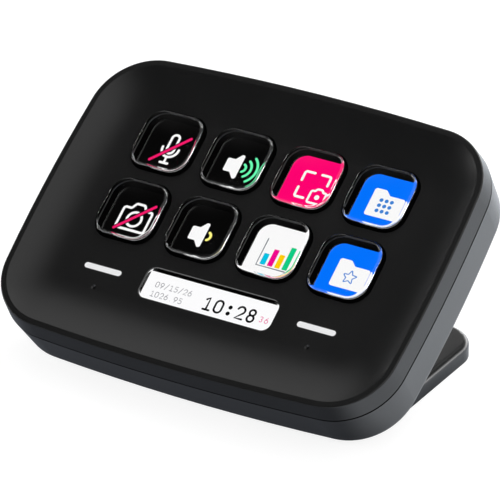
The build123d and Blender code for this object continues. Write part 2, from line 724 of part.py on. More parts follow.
tilt = Rot(TILT, 0, 0)
slope_sin = math.sin(math.radians(TILT))
slope_cos = math.cos(math.radians(TILT))


def tilted_y(y, depth):
    """Distance back from the middle of the face, once tilted, of a point on the case."""
    return y * slope_cos + depth * slope_sin


desk = (tilt * rear).bounding_box().min.Z - DESK_CLEARANCE
foot_bottom = desk + FOOT_GROUND_GAP
foot_top = desk + FOOT_TOP
foot_front = tilted_y(foot_front_y, BODY_DEPTH)
foot_length = FOOT_REACH - foot_front
foot_middle = (FOOT_REACH + foot_front) / 2


def foot_plate(inset, bottom, top):
    """Rounded plate over the foot's plan, drawn `inset` inside its edge."""
    sketch = RectangleRounded(
        FOOT_WIDTH - 2 * inset, foot_length - 2 * inset, max(FOOT_CORNER_RADIUS - inset, SMALLEST_CORNER)
    )
    return Pos(0, foot_middle, bottom) * extrude(sketch, top - bottom)


foot = foot_plate(0, foot_bottom, foot_top)
foot = fillet(foot.faces().sort_by(Axis.Z)[-1].edges(), FOOT_EDGE_RADIUS)
seat_depth = BODY_DEPTH + FLANGE_SEAT_GAP
foot -= tilt * prism(Rectangle(2 * BODY_WIDTH, 2 * BODY_HEIGHT), 0, seat_depth)

flange_height = flange_top_y - foot_front_y
flange_sketch = Pos(0, foot_front_y + flange_height / 2) * RectangleRounded(
    FLANGE_WIDTH, flange_height, min(FLANGE_CORNER_RADIUS, FLANGE_CORNER_SHARE * flange_height)
)
flange_sketch += Pos(0, foot_front_y + flange_height / 4) * Rectangle(FLANGE_WIDTH, flange_height / 2)
flange = prism(flange_sketch, seat_depth, flange_back)
outer_edges = flange.faces().sort_by(Axis.Z)[0].edges().sort_by(Axis.Y)
flange = fillet(outer_edges[1:], FLANGE_EDGE_RADIUS)
under_foot = Pos(0, foot_middle, foot_bottom - BODY_DEPTH) * Box(
    2 * FOOT_WIDTH, 4 * foot_length, 2 * BODY_DEPTH
)
foot += tilt * flange - under_foot

# concave web in the corner where the flange rises from the foot's upper face
corner_y = tilted_y((foot_top + flange_back * slope_cos) / slope_sin, flange_back)
half_angle = math.radians(TILT) / 2
web_run = FLANGE_BLEND / math.tan(half_angle)
web_centre = FLANGE_BLEND / math.sin(half_angle)
round_place = (web_centre * math.cos(half_angle), web_centre * math.sin(half_angle))
web = Polygon(
    (0, 0), (web_run, 0), round_place, (web_run * slope_cos, web_run * slope_sin), align=None
)
web -= disc(FLANGE_BLEND, round_place)
web_width = FLANGE_WIDTH - 2 * FLANGE_EDGE_RADIUS
foot += Pos(-web_width / 2, corner_y, foot_top) * extrude(Plane.YZ * web, web_width)

pad_top = desk + PAD_THICKNESS
weight_top = pad_top + WEIGHT_THICKNESS
foot -= foot_plate(PAD_MARGIN, desk, pad_top)
foot -= foot_plate(WEIGHT_MARGIN, desk, weight_top)
for place in foot_screw_places:
    foot -= tilt * prism(disc(screw_hole_radius, place), rear_inside, flange_back)
tilted_parts["foot_stand"] = foot
tilted_parts["foot_pad"] = foot_plate(PAD_MARGIN + PAD_GAP, desk, pad_top)
tilted_parts["foot_weight"] = foot_plate(WEIGHT_MARGIN + PAD_GAP, pad_top, weight_top)

# ---------------------------------------------------------------- on the desk

for name, shape in flat_parts.items():
    tilted_parts[name] = tilt * shape

outside = [tilted_parts[name].bounding_box() for name in ("front_shell", "rear_shell", "foot_stand")]
middle_y = (min(box.min.Y for box in outside) + max(box.max.Y for box in outside)) / 2
on_desk = Pos(0, -middle_y, -desk)

os.makedirs("parts", exist_ok=True)
for name, shape in tilted_parts.items():
    export_step(on_desk * shape, f"parts/{name}.step")
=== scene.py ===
import json
import math

import bpy
from mathutils import Matrix, Vector


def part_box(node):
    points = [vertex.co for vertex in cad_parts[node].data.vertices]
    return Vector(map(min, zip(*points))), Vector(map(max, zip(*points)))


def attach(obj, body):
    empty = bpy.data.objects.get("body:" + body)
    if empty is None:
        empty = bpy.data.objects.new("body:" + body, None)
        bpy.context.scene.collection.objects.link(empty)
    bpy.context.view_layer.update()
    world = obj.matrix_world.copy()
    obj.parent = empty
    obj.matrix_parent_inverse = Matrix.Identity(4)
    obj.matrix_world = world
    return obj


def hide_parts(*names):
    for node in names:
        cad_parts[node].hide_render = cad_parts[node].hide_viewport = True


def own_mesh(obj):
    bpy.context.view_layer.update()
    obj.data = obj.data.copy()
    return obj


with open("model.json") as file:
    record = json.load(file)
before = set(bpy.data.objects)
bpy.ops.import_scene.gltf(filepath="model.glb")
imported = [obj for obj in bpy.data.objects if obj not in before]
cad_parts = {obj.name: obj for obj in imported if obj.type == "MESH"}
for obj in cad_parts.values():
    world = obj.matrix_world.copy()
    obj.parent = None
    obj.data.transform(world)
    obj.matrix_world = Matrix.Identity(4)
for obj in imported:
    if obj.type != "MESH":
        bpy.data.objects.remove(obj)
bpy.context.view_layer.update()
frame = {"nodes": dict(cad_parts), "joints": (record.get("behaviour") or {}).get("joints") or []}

# ---------------------------------------------------------------- camera
# A long lens that looks down on the keypad from the front right, at about 27 degrees. It stands some
# 0.9 m away and is nearly level.

FILM_WIDTH = 36.0
LENS_LENGTH = 284.92
CAMERA_PLACE = (0.42963, -0.69525, 0.43833)
CAMERA_TURNS = (63.3491, 0.2835, 31.5560)        # degrees round x, y and z

lens = bpy.data.cameras.new("camera")
lens.sensor_width = FILM_WIDTH
lens.lens = LENS_LENGTH
camera = bpy.data.objects.new("camera", lens)
camera.location = CAMERA_PLACE
camera.rotation_euler = [math.radians(turn) for turn in CAMERA_TURNS]
bpy.context.scene.collection.objects.link(camera)
bpy.context.scene.camera = camera
bpy.context.scene.view_settings.view_transform = "Standard"

# ---------------------------------------------------------------- studio
# The camera sees a white table and background. The keypad sees a dark room with a bright backdrop behind
# it, two soft and three small hard panels, and a table with a painted shadow close by. A broad lamp adds
# the plain level of light.


class Signal:
    """A value, vector or colour in a shader. Arithmetic on values adds Math nodes."""

    def __init__(self, tree, socket):
        self.tree = tree
        self.socket = socket

    def node(self, kind, settings, values, output=0):
        """Adds a node: its settings first, then the values or links of its sockets."""
        made = self.tree.nodes.new("ShaderNode" + kind)
        for name, setting in settings.items():
            setattr(made, name, setting)
        for name, value in values.items():
            if isinstance(value, Signal):
                self.tree.links.new(value.socket, made.inputs[name])
            else:
                made.inputs[name].default_value = value
        return Signal(self.tree, made.outputs[output])

    def maths(self, operation, first, second):
        return self.node("Math", {"operation": operation}, {0: first, 1: second})

    def __add__(self, other):
        return self.maths("ADD", self, other)

    def __radd__(self, other):
        return self.maths("ADD", other, self)

    def __sub__(self, other):
        return self.maths("SUBTRACT", self, other)

    def __rsub__(self, other):
        return self.maths("SUBTRACT", other, self)

    def __mul__(self, other):
        return self.maths("MULTIPLY", self, other)

    def __rmul__(self, other):
        return self.maths("MULTIPLY", other, self)

    def part(self, index):
        """One component of a vector."""
        return self.node("SeparateXYZ", {}, {0: self}, output=index)

    def step(self, low, high):
        """0 below `low`, 1 above `high`, smooth between."""
        return self.node(
            "MapRange",
            {"interpolation_type": "SMOOTHSTEP"},
            {"Value": self, "From Min": low, "From Max": high},
        )

    def mix(self, first, second):
        """`first` where this signal is 0, `second` where it is 1; both are colours."""
        return self.node("Mix", {"data_type": "RGBA"}, {0: self, 6: first, 7: second}, output=2)


def given(tree, kind, output):
    """An output of a node that needs no input."""
    return Signal(tree, None).node(kind, {}, {}, output)


def grey(level):
    return (level, level, level, 1.0)


def finish(name, fixed, surface=None):
    """A material. `fixed` are constants of its shader, and `surface` gives what varies over the piece."""
    material = bpy.data.materials.new(name)
    material.use_nodes = True
    tree = material.node_tree
    shader = tree.nodes["Principled BSDF"]
    for socket, value in fixed.items():
        shader.inputs[socket].default_value = value
    if surface:
        for socket, signal in surface(given(tree, "TexCoord", "Object")).items():
            tree.links.new(signal.socket, shader.inputs[socket])
    return material


CEILING = 0.01                               # levels of light
FRONT = 0.3
BACKDROP = 5.0
BACKDROP_TURN = (0.30, 0.75)                 # depth on the unit sphere, from the front to the backdrop
BACKDROP_FADE = (0.12, 0.42)                 # height on it where both give way to the ceiling
PANELS = (                                   # direction, inner and outer half angle, level
    ((0.45, -0.15, 0.88), 24, 51, 0.90),     # above, to the right
    ((-0.40, 0.35, 0.85), 8, 29, 0.75),      # above, behind to the left
    ((-0.94, 0.27, 0.20), 6, 13, 9.0),       # small and hard, low at the left
    ((-0.90, -0.30, 0.29), 7, 14, 6.0),      # the same, a little further to the front
    ((0.06, 0.50, 0.86), 10, 18, 5.0),       # small and hard, above and behind
)


def panel_light(sky, toward, inner, outer, level):
    """A round panel of light: even within the inner angle, dark beyond the outer one."""
    values = {0: sky, 1: Vector(toward).normalized()}
    facing = sky.node("VectorMath", {"operation": "DOT_PRODUCT"}, values, output=1)
    return facing.step(math.cos(math.radians(outer)), math.cos(math.radians(inner))) * level


world = bpy.data.worlds.new("studio")
world.use_nodes = True
bpy.context.scene.world = world
sky_tree = world.node_tree
sky = given(sky_tree, "TexCoord", "Generated")
around = FRONT + (BACKDROP - FRONT) * sky.part(1).step(*BACKDROP_TURN)
room = CEILING + around * (1 - sky.part(2).step(*BACKDROP_FADE))
for panel in PANELS:
    room = room + panel_light(sky, *panel)
seen = given(sky_tree, "LightPath", "Is Camera Ray")
background = seen + (1 - seen) * room
sky_tree.links.new(background.socket, sky_tree.nodes["Background"].inputs["Color"])

TABLE_SIZE = 6.0
# Painted shadow: to all rays but the camera's, the table is darker round this middle, standing in for the
# keypad's shadow.
NEAR_MIDDLE = (-0.02, -0.03, 0.0)
NEAR_FADE = (0.06, 0.11)         # distances from that point over which the table's painted shadow fades to pale
NEAR_RIGHT = (0.040, 0.056)      # the painted shadow also ends to the right of these, close to the keypad
# Colour and glow of the painted shadow on the table near the keypad.
PAINTED_SHADOW_COLOUR = (0.11, 0.118, 0.135, 1.0)
OPEN_PALE = (0.72, 0.75, 0.80, 1.0)
OPEN_GLOW = (0.50, 0.53, 0.56, 1.0)
SEEN_PALE = grey(0.25)           # the table's own colour and glow, as the camera sees it
SEEN_GLOW = grey(0.88)


def white_table(place):
    """A glowing table top, even to the camera; to everything else it has a painted shadow near the keypad.
    """
    seen = given(place.tree, "LightPath", "Is Camera Ray")
    from_middle = place.node("VectorMath", {"operation": "SUBTRACT"}, {0: place, 1: NEAR_MIDDLE})
    distance = from_middle.node("VectorMath", {"operation": "LENGTH"}, {0: from_middle}, output=1)
    # Mask of the painted shadow: 0 close to the keypad, 1 on the open table.
    past_painted_shadow = place.maths("MAXIMUM", distance.step(*NEAR_FADE), place.part(0).step(*NEAR_RIGHT))
    return {
        "Base Color": seen.mix(past_painted_shadow.mix(PAINTED_SHADOW_COLOUR, OPEN_PALE), SEEN_PALE),
        "Emission Color": seen.mix(past_painted_shadow.mix(PAINTED_SHADOW_COLOUR, OPEN_GLOW), SEEN_GLOW),
    }


half = TABLE_SIZE / 2
table_corners = [(-half, -half, 0), (half, -half, 0), (half, half, 0), (-half, half, 0)]
floor_mesh = bpy.data.meshes.new("floor")
floor_mesh.from_pydata(table_corners, [], [(0, 1, 2, 3)])
floor = bpy.data.objects.new("floor", floor_mesh)
bpy.context.scene.collection.objects.link(floor)
matt_and_lit = {"Roughness": 0.9, "Specular IOR Level": 0.0, "Emission Strength": 1.0}
floor_mesh.materials.append(finish("white_table", matt_and_lit, white_table))

LAMP_PLACE = (0.9, -0.3, 1.1)
LAMP_SIZE = 1.2
LAMP_WATTS = 4.0

light = bpy.data.lights.new("main_lamp", "AREA")
light.size = LAMP_SIZE
light.energy = LAMP_WATTS
lamp = bpy.data.objects.new("main_lamp", light)
lamp.location = LAMP_PLACE
lamp.rotation_euler = Vector(LAMP_PLACE).to_track_quat("Z", "Y").to_euler()
lamp.visible_camera = False
lamp.visible_glossy = False
bpy.context.scene.collection.objects.link(lamp)

# ---------------------------------------------------------------- case
# Two moulded shells of black ABS with a fine spark-eroded texture. The front shell carries everything;
# the rear shell closes it with four screws from behind.


def repaint(material, *nodes):
    """Gives a finish to pieces that keep the solid's own shape."""
    for name in nodes:
        for slot in frame["nodes"][name].material_slots:
            slot.material = material


CLOUD_SCALE = 60.0               # a cloud is some 17 mm across


def moulded(dark, light, rough, spread, grain_size, depth):
    """Surface of a textured moulding: fine grain `depth` deep, and a faint cloud in colour and gloss."""

    def surface(place):
        grain = place.node("TexNoise", {}, {"Vector": place, "Scale": 1 / grain_size, "Detail": 3.0})
        cloud = place.node("TexNoise", {}, {"Vector": place, "Scale": CLOUD_SCALE, "Detail": 2.0})
        return {
            "Base Color": (0.5 * grain + 0.5 * cloud).mix(dark, light),
            "Roughness": rough + spread * (cloud - 0.5) + spread * (grain - 0.5),
            "Normal": place.node("Bump", {}, {"Height": grain, "Strength": 0.5, "Distance": depth}),
        }

    return surface


case_texture = moulded(
    grey(0.007), grey(0.011), rough=0.25, spread=0.05, grain_size=0.00035, depth=0.00001
)
case_plastic = finish("case_plastic", {}, case_texture)
repaint(case_plastic, "front_shell", "rear_shell")

# ---------------------------------------------------------------- key display
# One liquid-crystal panel under all eight keys, behind a black mask board with a window for each key.
# A light guide lies behind it, and a moulded frame holds the stack to the front shell.

MM = 0.001
KEYS = range(1, 9)                           # row by row, from the upper left
out = -Vector(frame["joints"][0]["axis"])    # out of the face, against the keys' travel
right = Vector((1, 0, 0))
up = out.cross(right)                        # up the slope of the face


def reach(node, direction):
    """How far a CAD node reaches along a direction."""
    return max(vertex.co.dot(direction) for vertex in frame["nodes"][node].data.vertices)


def middle(node):
    """Middle of a CAD node's box."""
    low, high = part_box(node)
    return (low + high) / 2


def seat(centre, level):
    """Place of a piece drawn in millimetres and parallel to the face, at `level` along `out`."""
    origin = centre + out * (level - centre.dot(out))
    tilt = Matrix((right, up, out)).transposed().to_4x4()
    return Matrix.Translation(origin) @ tilt @ Matrix.Scale(MM, 4)


def arc(centre, radius, start, stop, steps=16):
    """Points on a circle, from angle `start` to `stop` in degrees."""
    angles = [math.radians(start + (stop - start) * i / steps) for i in range(steps + 1)]
    return [(centre[0] + radius * math.cos(a), centre[1] + radius * math.sin(a)) for a in angles]


def circle(centre, radius, steps):
    """Points all round a circle, each of them once."""
    return arc(centre, radius, 0, 360, steps)[:-1]


BEND_SHARE = 0.49                # share of a side that the bend at one of its ends may take


def rounded(corners, radius, closed=True, steps=6):
    """A path through `corners`, each one rounded by an arc of about `radius`."""
    points = []
    count = len(corners)
    for i, here in enumerate(corners):
        if not closed and i in (0, count - 1):
            points.append(here)
            continue
        before = Vector(corners[i - 1]) - Vector(here)
        after = Vector(corners[(i + 1) % count]) - Vector(here)
        half_angle = before.angle(after) / 2
        longest = BEND_SHARE * min(before.length, after.length)
        run = min(radius / math.tan(half_angle), longest)
        bend = run * math.tan(half_angle)
        inward = (before.normalized() + after.normalized()).normalized()
        centre = Vector(here) + inward * (bend / math.sin(half_angle))
        first = Vector(here) + before.normalized() * run - centre
        last = Vector(here) + after.normalized() * run - centre
        turn = first.angle_signed(last)
        for k in range(steps + 1):
            spun = Matrix.Rotation(-turn * k / steps, 2) @ first
            points.append(tuple(centre + spun))
    return points


CAP_STEPS = 8


def stroke(path, width, closed=False):
    """A line of constant width along a path, with round ends: (vertices, faces)."""
    path = [Vector(p) for p in path]
    count = len(path)
    left, right_side = [], []
    for i, here in enumerate(path):
        before = path[i - 1] if closed or i else None
        after = path[(i + 1) % count] if closed or i < count - 1 else None
        along = Vector((0, 0))
        if before is not None:
            along += (here - before).normalized()
        if after is not None:
            along += (after - here).normalized()
        along.normalize()
        side = Vector((-along.y, along.x)) * width / 2
        left.append(here + side)
        right_side.append(here - side)
    verts = left + right_side
    faces = []
    for i in range(count if closed else count - 1):
        j = (i + 1) % count
        faces.append((i, count + i, count + j, j))
    if not closed:
        for end, inner in ((0, 1), (count - 1, count - 2)):
            outward = (path[end] - path[inner]).normalized()
            start = math.degrees(math.atan2(outward.y, outward.x))
            cap = arc(path[end], width / 2, start - 90, start + 90, CAP_STEPS)
            base = len(verts)
            verts += [Vector(p) for p in cap]
            faces.append(tuple(range(base, base + len(cap))))
    return verts, faces


def flat_piece(name, layers, place):
    """A picture of several layers; each layer is (finish, height above the glass, shapes)."""
    mesh = bpy.data.meshes.new(name)
    verts, faces, slots = [], [], []
    for index, (material, height, shapes) in enumerate(layers):
        mesh.materials.append(material)
        for shape_verts, shape_faces in shapes:
            base = len(verts)
            verts += [(v[0], v[1], height) for v in shape_verts]
            faces += [tuple(base + i for i in face) for face in shape_faces]
            slots += [index] * len(shape_faces)
    mesh.from_pydata(verts, [], faces)
    mesh.polygons.foreach_set("material_index", slots)
    mesh.transform(place)
    piece = bpy.data.objects.new(name, mesh)
    bpy.context.scene.collection.objects.link(piece)
    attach(piece, "case")
    return piece


def fill(path):
    """The area inside a closed path: (vertices, faces)."""
    return path, [tuple(range(len(path)))]


SCREEN_STRENGTH = 1.08
SCREEN_GAMMA = 2.2


def lit(name, red, green, blue):
    """A patch of a lit display, in a screen's colour from 0 to 255. It glows and reflects nothing."""
    colour = [(part / 255) ** SCREEN_GAMMA for part in (red, green, blue)]
    fixed = {
        "Base Color": grey(0.0),
        "Roughness": 1.0,
        "Specular IOR Level": 0.0,
        "Emission Strength": SCREEN_STRENGTH,
        "Emission Color": (*colour, 1.0),
    }
    return finish(name, fixed)


white_light = lit("picture_white", 251, 251, 251)
black_light = lit("picture_black", 13, 13, 13)
red_light = lit("picture_red", 232, 32, 104)
mint_light = lit("picture_mint", 105, 245, 175)
cream_light = lit("picture_cream", 255, 245, 130)
pink_light = lit("picture_pink", 255, 0, 112)
blue_light = lit("picture_blue", 0, 114, 255)
dot_light = lit("picture_slate", 60, 130, 215)
chart_lights = [
    lit("picture_cyan", 0, 190, 225),
    lit("picture_magenta", 240, 0, 140),
    lit("picture_yellow", 255, 205, 0),
    lit("picture_green", 20, 200, 130),
]
axis_light = lit("picture_grey", 120, 125, 132)

# Sizes and points of the pictures are in millimetres from the middle of the key.
PICTURE_SIDE = 14.4
PICTURE_CORNER = 3.2
CORNER_STEPS = 12
GROUND = 0.005                   # height of a picture's ground above the glass
LAYER = 0.015                    # and of its first layer of marks
LINE = 0.62
SLASH_LINE = 0.72
SLASH_GAP = 1.2


def square(side):
    """Corners of a square about the middle."""
    half = side / 2
    return [(-half, -half), (half, -half), (half, half), (-half, half)]


def slashed(marks, drop):
    """White marks struck out by a red line with dark gaps beside it."""
    line = [(-4.48, -3.75 - drop), (3.12, 3.85 - drop)]
    return [
        (white_light, LAYER, marks),
        (black_light, 2 * LAYER, [stroke(line, SLASH_GAP)]),
        (red_light, 3 * LAYER, [stroke(line, SLASH_LINE)]),
    ]


def microphone():
    """A microphone on its stand, struck out."""
    capsule = arc((-0.68, 2.95), 0.95, 0, 180) + arc((-0.68, -0.15), 0.95, 180, 360)
    cradle = arc((-0.68, 0.1), 2.15, 176, 364)
    stem = [(-0.68, -2.05), (-0.68, -3.7)]
    base = [(-1.68, -3.7), (0.32, -3.7)]
    marks = [stroke(capsule, LINE, closed=True)]
    marks += [stroke(path, LINE) for path in (cradle, stem, base)]
    return slashed(marks, 0)


def photo_camera():
    """A camera, struck out."""
    body = [
        (-4.43, -3.55), (3.17, -3.55), (3.17, 1.95), (1.22, 1.95), (0.45, 3.3), (-1.75, 3.3),
        (-2.55, 1.95), (-4.43, 1.95),
    ]
    glass = circle((-0.63, -0.7), radius=1.85, steps=40)
    marks = [stroke(path, LINE, closed=True) for path in (rounded(body, radius=0.55), glass)]
    return slashed(marks, 0.12)


def speaker(wave_light, waves):
    """A loudspeaker with sound waves, each given by its radius and half angle."""
    horn = [
        (-4.5, 1.75), (-2.6, 1.75), (-1.3, 3.25), (-0.55, 3.1),
        (-0.55, -3.0), (-1.3, -3.2), (-2.6, -1.7), (-4.5, -1.7),
    ]
    source = (-0.2, 0.03)
    arcs = [stroke(arc(source, radius, -angle, angle), LINE) for radius, angle in waves]
    return [(white_light, LAYER, [fill(rounded(horn, radius=0.4))]), (wave_light, LAYER, arcs)]


def frame_and_camera():
    """Three corners of a frame, with a small camera in place of the fourth."""
    side, leg, camera_line = 3.35, 2.4, 0.55
    marks = []
    for x, y in ((-1, 1), (1, 1), (-1, -1)):
        corner = [(x * (side - leg), y * side), (x * side, y * side), (x * side, y * (side - leg))]
        marks.append(stroke(rounded(corner, radius=0.5, closed=False), LINE))
    body = [
        (0.23, -4.05), (4.13, -4.05), (4.13, -1.0), (3.3, -1.0), (2.75, -0.35), (1.6, -0.35),
        (1.1, -1.0), (0.23, -1.0),
    ]
    marks.append(stroke(rounded(body, radius=0.45), camera_line, closed=True))
    marks.append(fill(circle((2.2, -2.45), radius=0.62, steps=24)))
    return [(white_light, LAYER, marks)]


def folder(drop):
    """A folder with its tab, moved down by `drop`."""
    outline = [
        (-3.97, -3.4), (4.33, -3.4), (4.33, 2.45), (0.2, 2.45), (-1.1, 3.7), (-3.97, 3.7),
    ]
    outline = [(x, y - drop) for x, y in outline]
    return (white_light, LAYER, [fill(rounded(outline, radius=0.6))])


def folder_of_dots():
    """Three columns and three rows of dots on a folder."""
    across, along, centre_y, radius = 1.33, 1.38, -0.38, 0.48
    places = [(x * across, centre_y + y * along) for x in (-1, 0, 1) for y in (-1, 0, 1)]
    dots = [fill(circle(place, radius, steps=20)) for place in places]
    return [folder(0), (dot_light, 2 * LAYER, dots)]


def folder_with_star():
    """A star in outline, with five tips, on a folder."""
    centre_x, centre_y, tip, notch, line = 0.08, -0.6, 1.85, 0.85, 0.26
    points = []
    for i in range(10):
        radius = notch if i % 2 else tip
        turn = math.radians(90 + i * 360 / 10)
        points.append((centre_x + radius * math.cos(turn), centre_y + radius * math.sin(turn)))
    star = stroke(rounded(points, radius=0.12, steps=3), line, closed=True)
    return [folder(0.17), (dot_light, 2 * LAYER, [star])]


def bar_chart():
    """Four bars of different heights over a pair of axes."""
    left, foot, width, pitch, axis_line = -3.35, -3.1, 1.35, 1.9, 0.3
    heights = (2.9, 4.4, 3.5, 5.9)
    axes = stroke([(-4.1, 3.4), (-4.1, -3.5), (4.1, -3.5)], axis_line)
    layers = [(axis_light, LAYER, [axes])]
    for i, (light, height) in enumerate(zip(chart_lights, heights)):
        x = left + pitch * i
        bar = [(x, foot), (x + width, foot), (x + width, foot + height), (x, foot + height)]
        layers.append((light, LAYER, [fill(rounded(bar, radius=0.15, steps=3))]))
    return layers


pictures = [
    (black_light, microphone()),
    (black_light, speaker(mint_light, ((1.05, 66), (2.45, 57), (3.95, 52)))),
    (pink_light, frame_and_camera()),
    (blue_light, folder_of_dots()),
    (black_light, photo_camera()),
    (black_light, speaker(cream_light, ((1.05, 66),))),
    (white_light, bar_chart()),
    (blue_light, folder_with_star()),
]
DULL = {"Specular IOR Level": 0.0}
board_texture = moulded(
    grey(0.001), grey(0.003), rough=0.6, spread=0.1, grain_size=0.0004, depth=0.000005
)
black_board = finish("black_board", DULL, board_texture)
repaint(black_board, "switch_board", "touch_board_left", "touch_board_right")
glass_texture = moulded(
    grey(0.001), grey(0.003), rough=0.2, spread=0.05, grain_size=0.01, depth=0.000001
)
display_glass = finish("display_glass", DULL, glass_texture)
repaint(display_glass, "key_display", "info_display")

picture_outline = rounded(square(PICTURE_SIDE), PICTURE_CORNER, steps=CORNER_STEPS)
glass_level = reach("key_display", out)
for number, (ground, marks) in zip(KEYS, pictures):
    layers = [(ground, GROUND, [fill(picture_outline)])] + marks
    place = seat(middle(f"key_collar_{number}"), glass_level)
    picture = flat_piece(f"key_picture_{number}", layers, place)

# ---------------------------------------------------------------- keys
# Clear acrylic blocks, moulded and polished, with rounded upper edges. Their sides are coated black from
# the edge down, and a black border is printed underneath, round the picture. A flange at the foot of each
# block holds it under the face.

KEY_SIDE = 15.6
KEY_CORNER = 4.45
KEY_EDGE = 0.8
EDGE_STEPS = 8
FLANGE_SIDE = 17.6
FLANGE_CORNER = 5.45
FLANGE_THICKNESS = 0.9
PRINT_SIDE = 12.6                # clear window inside the printed border
PRINT_CORNER = 0.8
SHARP_ANGLE = 40.0               # degrees between faces, beyond which an edge stays crisp


def ring(side, corner, height):
    """A rounded square at a height, as a ring of points."""
    return [(x, y, height) for x, y in rounded(square(side), corner, steps=CORNER_STEPS)]


def skin(name, rings, bands, materials, place, closed=False):
    """A smooth piece through rings of like points. `bands` gives each band's material, by its number, and
    the ends are capped in the first one unless the last ring closes on the first."""
    mesh = bpy.data.meshes.new(name)
    count = len(rings[0])
    verts = [point for points in rings for point in points]
    faces = []
    for k in range(len(rings) if closed else len(rings) - 1):
        low, high = k * count, (k + 1) % len(rings) * count
        faces += [(low + i, low + (i + 1) % count, high + (i + 1) % count, high + i) for i in range(count)]
    marks = [band for band in bands for _ in range(count)]
    smooth = [True] * len(faces)
    if not closed:
        faces += [tuple(reversed(range(count))), tuple(range(len(verts) - count, len(verts)))]
        marks += [0, 0]
        smooth += [False, False]
    mesh.from_pydata(verts, [], faces)
    for material in materials:
        mesh.materials.append(material)
    mesh.polygons.foreach_set("material_index", marks)
    mesh.polygons.foreach_set("use_smooth", smooth)
    mesh.set_sharp_from_angle(angle=math.radians(SHARP_ANGLE))
    mesh.transform(place)
    piece = bpy.data.objects.new(name, mesh)
    bpy.context.scene.collection.objects.link(piece)
    return piece


POLISH_SCALE = 90.0              # a cloud is 11 mm across


def polish(place):
    """The faint cloud of a polished moulding."""
    cloud = place.node("TexNoise", {}, {"Vector": place, "Scale": POLISH_SCALE, "Detail": 2.0})
    return {"Base Color": cloud.mix(grey(0.97), grey(1.0))}


acrylic = finish("clear_acrylic", {"Roughness": 0.0, "IOR": 1.49, "Transmission Weight": 1.0}, polish)
coat_texture = moulded(
    grey(0.001), grey(0.003), rough=0.5, spread=0.1, grain_size=0.0004, depth=0.000005
)
side_coat = finish("side_coat", DULL, coat_texture)

CLEAR, COATED = 0, 1
BAND_FINISHES = [COATED, CLEAR, COATED, COATED, COATED] + [CLEAR] * EDGE_STEPS

for number in KEYS:
    cap = f"key_cap_{number}"
    top = reach(cap, out)
    depth = (top + reach(cap, -out)) / MM
    rings = [
        ring(PRINT_SIDE, PRINT_CORNER, -depth),
        ring(KEY_SIDE, KEY_CORNER, -depth),
        ring(FLANGE_SIDE, FLANGE_CORNER, -depth),
        ring(FLANGE_SIDE, FLANGE_CORNER, FLANGE_THICKNESS - depth),
        ring(KEY_SIDE, KEY_CORNER, FLANGE_THICKNESS - depth),
        ring(KEY_SIDE, KEY_CORNER, -KEY_EDGE),
    ]
    for step in range(1, EDGE_STEPS + 1):
        turn = math.radians(90 * step / EDGE_STEPS)
        inset = KEY_EDGE * (1 - math.cos(turn))
        rings.append(ring(KEY_SIDE - 2 * inset, KEY_CORNER - inset, KEY_EDGE * (math.sin(turn) - 1)))
    place = seat(middle(f"key_collar_{number}"), top)
    block = skin(f"key_block_{number}", rings, BAND_FINISHES, [acrylic, side_coat], place)
    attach(block, f"key_{number}")
    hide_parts(cap)

# ---------------------------------------------------------------- key collars
# A ring of grey silicone under each key, moulded with a thin folded web that in the keypad gives way as
# the key goes down and lifts it again; the ring drawn here keeps its shape. It stands on the switch board,
# under the key's flange.

KEY_TRAVEL = 1.0
COLLAR_SIDE = 17.4
COLLAR_CORNER = 5.35
COLLAR_SECTION = (               # inset from the outer side, share of the height; round the section once
    (0.45, 0.00), (0.00, 0.00), (0.00, 0.22), (0.06, 0.28), (0.12, 0.36), (0.14, 0.50), (0.10, 0.66),
    (0.04, 0.76), (0.00, 0.84), (0.00, 0.96), (0.06, 1.00), (0.79, 1.00), (0.85, 0.97), (0.85, 0.86),
    (0.79, 0.80), (0.42, 0.70), (0.44, 0.48), (0.40, 0.32), (0.45, 0.24),
)

silicone_texture = moulded(
    grey(0.16), grey(0.20), rough=0.7, spread=0.1, grain_size=0.0005, depth=0.00001
)
silicone = finish("silicone", {"Specular IOR Level": 0.1}, silicone_texture)

for number in KEYS:
    collar = f"key_collar_{number}"
    board = -reach(collar, -out)
    height = (reach(collar, out) - board) / MM
    rings = []
    for inset, share in COLLAR_SECTION:
        rings.append(ring(COLLAR_SIDE - 2 * inset, COLLAR_CORNER - inset, height * share))
    place = seat(middle(collar), board)
    dome = skin(f"dome_ring_{number}", rings, [0] * len(rings), [silicone], place, closed=True)
    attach(dome, "case")
    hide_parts(collar)
    keep = (height - KEY_TRAVEL) / height
    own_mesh(dome)

# ---------------------------------------------------------------- information display
# A long thin liquid-crystal display of its own, lit from behind, under a clear acrylic window that is
# set into the face. It shows plain figures, drawn with lines of one width.

repaint(acrylic, "info_window")

